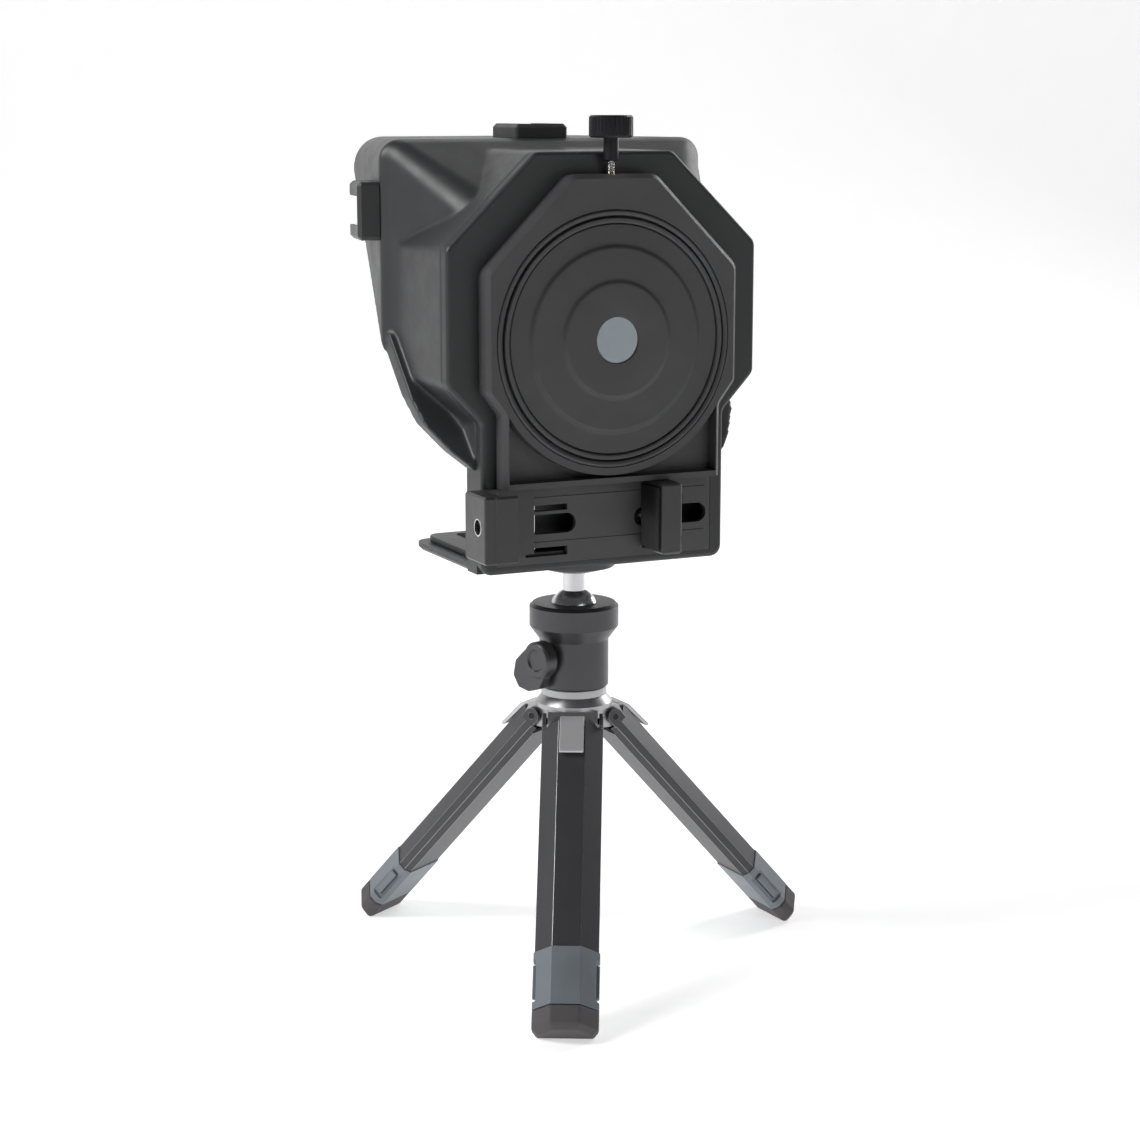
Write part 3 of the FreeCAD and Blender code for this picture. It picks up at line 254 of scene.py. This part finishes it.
def dress_nodes():
    for name, obj in NODES.items():
        slot = SLOTS[name]
        obj.data.materials.clear()
        look = THREAD if name in THREADED else LOOKS[slot]
        obj.data.materials.append(LATCH if name.startswith("latch_tab") else look)
        for face in obj.data.polygons:
            face.use_smooth = True
        soften(obj, EDGES.get(slot, 0.1), highlight_edge=name.startswith("leg_tube"))


dress_nodes()


# ---------------------------------------------------------------- detailed pieces

def stand_for(piece, node):
    """Give a new piece the look of its node's slot and its node's body, and hide the node."""
    piece.data.materials.append(LOOKS[SLOTS[node]])
    for face in piece.data.polygons:
        face.use_smooth = True
    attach(piece, BODIES[node])
    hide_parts(node)


def moulding(node, voxel, passes, keep):
    """A moulded piece on the node's shape, with every edge rounded as a mould leaves it."""
    mesh = NODES[node].data.copy()
    mesh.materials.clear()
    piece = bpy.data.objects.new(node + "_moulding", mesh)
    bpy.context.scene.collection.objects.link(piece)
    weld = piece.modifiers.new("weld", "WELD")
    weld.merge_threshold = 0.001 * MM
    remesh = piece.modifiers.new("even", "REMESH")
    remesh.mode = "VOXEL"
    remesh.voxel_size = voxel * MM
    smooth = piece.modifiers.new("round", "SMOOTH")
    smooth.factor = 0.5
    smooth.iterations = passes
    thin = piece.modifiers.new("thin", "DECIMATE")
    thin.ratio = keep
    view = bpy.context.evaluated_depsgraph_get()
    piece.data = bpy.data.meshes.new_from_object(piece.evaluated_get(view))
    piece.modifiers.clear()
    stand_for(piece, node)


def lathe(node, profile, along, segments=144):
    """A turned piece round a node's centre line; profile is (radius, place along the axis) in mm."""
    low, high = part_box(node)
    middle = [(a + b) / 2 for a, b in zip(low, high)]
    sheet = bmesh.new()
    rings = []
    for radius, place in profile:
        ring = []
        for step in range(segments):
            angle = 2 * math.pi * step / segments
            side, up = radius * MM * math.cos(angle), radius * MM * math.sin(angle)
            if along == "y":
                spot = (middle[0] + side, place * MM, middle[2] + up)
            else:
                spot = (middle[0] + side, middle[1] + up, place * MM)
            ring.append(sheet.verts.new(spot))
        rings.append(ring)
    for index, ring in enumerate(rings):
        other = rings[(index + 1) % len(rings)]
        for step in range(segments):
            following = (step + 1) % segments
            sheet.faces.new((ring[step], ring[following], other[following], other[step]))
    bmesh.ops.recalc_face_normals(sheet, faces=sheet.faces)
    mesh = bpy.data.meshes.new(node + "_turned")
    sheet.to_mesh(mesh)
    sheet.free()
    piece = bpy.data.objects.new(node + "_turned", mesh)
    bpy.context.scene.collection.objects.link(piece)
    stand_for(piece, node)


def eased(corners, radius, steps=5):
    """The closed outline with each corner replaced by a quarter of a soft curve."""
    points = []
    for index, corner in enumerate(corners):
        here = Vector(corner)
        before = Vector(corners[index - 1]) - here
        after = Vector(corners[(index + 1) % len(corners)]) - here
        reach = min(radius, before.length * 0.45, after.length * 0.45)
        start = here + before.normalized() * reach
        end = here + after.normalized() * reach
        for step in range(steps + 1):
            share = step / steps
            first = start.lerp(here, share)
            second = here.lerp(end, share)
            points.append(tuple(first.lerp(second, share)))
    return points


def shield_skin():
    """The rubber light shield: soft steps and a rolled lip round the lens hole."""
    low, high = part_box("lens_shield")
    outer = (high[0] - low[0]) / 2 / MM
    back, front = low[1] / MM, high[1] / MM
    steps = [
        (outer, front - 1.5), (39.8, front - 1.5), (38.4, front - 2.9), (25.2, front - 2.9),
        (23.8, back), (9.6, back), (9.6, back + 1.5), (24.4, back + 1.5), (25.8, back + 2.8),
        (39, back + 2.8), (40.4, front), (outer, front),
    ]
    lathe("lens_shield", eased(steps, 0.9), "y")


def platform_cover(bore=3.4, rim=17.4, easing=0.4):
    """The rubber disc between the ball head's platform and the slab."""
    low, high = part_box("platform_pad")
    bottom, top = low[2] / MM, high[2] / MM
    lathe("platform_pad", eased([(bore, bottom), (rim, bottom), (rim, top), (bore, top)], easing), "z")


def ribbed_pad(low, high, face, across, ribs):
    """A ribbed rubber pad: it presses along face (1 for X, signed) and its ribs follow each other across."""
    axis = abs(face) - 1
    run = 3 - axis - across
    sheet = bmesh.new()
    level = high if face > 0 else low
    root = low if face > 0 else high
    steps = ribs * RIB_STEPS
    rows = []
    for end in (low[run], high[run]):
        row = []
        for step in range(steps + 1):
            spot = [0.0, 0.0, 0.0]
            spot[run] = end
            spot[across] = low[across] + (high[across] - low[across]) * step / steps
            rise = RIB_DEPTH * (0.5 - 0.5 * math.cos(2 * math.pi * step / RIB_STEPS))
            spot[axis] = level[axis] - math.copysign(RIB_DEPTH - rise, face)
            row.append(sheet.verts.new(spot))
        for side in (high[across], low[across]):
            spot = [0.0, 0.0, 0.0]
            spot[run] = end
            spot[across] = side
            spot[axis] = root[axis]
            row.append(sheet.verts.new(spot))
        rows.append(row)
    count = len(rows[0])
    for index in range(count):
        following = (index + 1) % count
        sheet.faces.new((rows[0][index], rows[0][following], rows[1][following], rows[1][index]))
    sheet.faces.new(rows[0])
    sheet.faces.new(rows[1])
    bmesh.ops.recalc_face_normals(sheet, faces=sheet.faces)
    return sheet


def pads():
    for node, face in (("left_jaw_pad", 1), ("right_jaw_pad", -1)):
        low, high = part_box(node)
        finish_pad(node, ribbed_pad(low, high, face, 1, 7))
    low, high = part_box("tray_pads")
    whole = bmesh.new()
    for left, right in ((low[0], low[0] + TRAY_STRIP), (high[0] - TRAY_STRIP, high[0])):
        sheet = ribbed_pad((left, low[1], low[2]), (right, high[1], high[2]), 3, 1, 22)
        part = bpy.data.meshes.new("strip")
        sheet.to_mesh(part)
        sheet.free()
        whole.from_mesh(part)
        bpy.data.meshes.remove(part)
    finish_pad("tray_pads", whole)


def finish_pad(node, sheet):
    mesh = bpy.data.meshes.new(node + "_ribbed")
    sheet.to_mesh(mesh)
    sheet.free()
    piece = bpy.data.objects.new(node + "_ribbed", mesh)
    bpy.context.scene.collection.objects.link(piece)
    stand_for(piece, node)
    normals = piece.modifiers.new("normals", "WEIGHTED_NORMAL")
    normals.keep_sharp = True


moulding("hood_shell", 0.8, 13, 0.35)
for leg in (1, 2, 3):
    moulding(f"rubber_foot_{leg}", 0.5, 8, 0.6)
shield_skin()
platform_cover()
pads()


# ---------------------------------------------------------------- stage, lights and camera

def studio_floor():
    """A pale sweep: floor in front, wall behind, joined by a quarter round."""
    mesh = bpy.data.meshes.new("studio_sweep")
    sheet = bmesh.new()
    radius = 1.0
    back = 2.2
    profile = [(-3.0, 0.0), (back - radius, 0.0)]
    steps = 16
    for step in range(1, steps + 1):
        angle = math.pi / 2 * step / steps
        profile.append((back - radius + radius * math.sin(angle), radius - radius * math.cos(angle)))
    profile.append((back, 4.0))
    rows = []
    for across in (-4.0, 4.0):
        rows.append([sheet.verts.new((across, along, up)) for along, up in profile])
    for index in range(len(profile) - 1):
        quad = (rows[0][index], rows[1][index], rows[1][index + 1], rows[0][index + 1])
        sheet.faces.new(quad).smooth = True
    sheet.to_mesh(mesh)
    sheet.free()
    floor = bpy.data.objects.new("studio_sweep", mesh)
    floor.rotation_euler[2] = -CAMERA_TURN
    bpy.context.scene.collection.objects.link(floor)
    material, tree, shader, place = new_material("studio_paper")
    fibre = noise(tree, place, 60, 3.0)
    shade = blend_colours(tree, remap(tree, fibre, 0, 1), (0.86, 0.86, 0.86), (0.9, 0.9, 0.9))
    tree.links.new(shade, shader.inputs["Base Color"])
    shader.inputs["Roughness"].default_value = 0.9
    shader.inputs["Emission Color"].default_value = (1, 1, 1, 1)
    shader.inputs["Emission Strength"].default_value = 0.52
    floor.data.materials.append(material)


def area_light(name, place, target, size, power, colour=(1, 1, 1)):
    data = bpy.data.lights.new(name, "AREA")
    data.shape = "RECTANGLE"
    data.size, data.size_y = size
    data.energy = power
    data.color = colour
    lamp = bpy.data.objects.new(name, data)
    lamp.location = place
    lamp.rotation_euler = (Vector(target) - Vector(place)).to_track_quat("-Z", "Y").to_euler()
    bpy.context.scene.collection.objects.link(lamp)


def studio_light():
    """A dim room with one very broad soft source high on the left, and three lamps."""
    world = bpy.data.worlds.new("studio")
    world.use_nodes = True
    tree = world.node_tree
    sky = tree.nodes["Background"]
    place = tree.nodes.new("ShaderNodeTexCoord")
    towards = tree.nodes.new("ShaderNodeVectorMath")
    towards.operation = "DOT_PRODUCT"
    towards.inputs[1].default_value = Vector((-0.75, 0.15, 0.62)).normalized()
    tree.links.new(place.outputs["Generated"], towards.inputs[0])
    glow = tree.nodes.new("ShaderNodeMapRange")
    glow.interpolation_type = "SMOOTHSTEP"
    glow.inputs["From Min"].default_value = 0.1
    glow.inputs["From Max"].default_value = 0.95
    glow.inputs["To Min"].default_value = 0.32
    glow.inputs["To Max"].default_value = 1.7
    tree.links.new(towards.outputs["Value"], glow.inputs["Value"])
    tree.links.new(glow.outputs["Result"], sky.inputs["Strength"])
    bpy.context.scene.world = world
    middle = (0, 0, 0.24)
    area_light("key", (-1.5, 0.25, 1.35), middle, (0.5, 0.9), 24)
    area_light("camera_fill", (0.5, -1.9, 1.1), middle, (0.9, 0.7), 5)
    area_light("rim_right", (1.4, 0.5, 0.9), middle, (0.3, 1.2), 10)


def photo_camera():
    """A 77 mm lens just above the object's top, turned to the right and looking slightly down."""
    data = bpy.data.cameras.new("camera")
    data.sensor_width = 36
    data.lens = 77.4
    camera = bpy.data.objects.new("camera", data)
    dip = math.radians(10.86)
    look = Vector((
        math.sin(CAMERA_TURN) * math.cos(dip), math.cos(CAMERA_TURN) * math.cos(dip), -math.sin(dip)
    ))
    camera.location = (-0.4605, -0.9614, 0.381)
    camera.rotation_euler = look.to_track_quat("-Z", "Y").to_euler()
    bpy.context.scene.collection.objects.link(camera)
    bpy.context.scene.camera = camera


studio_floor()
studio_light()
photo_camera()
bpy.context.scene.view_settings.view_transform = "Standard"
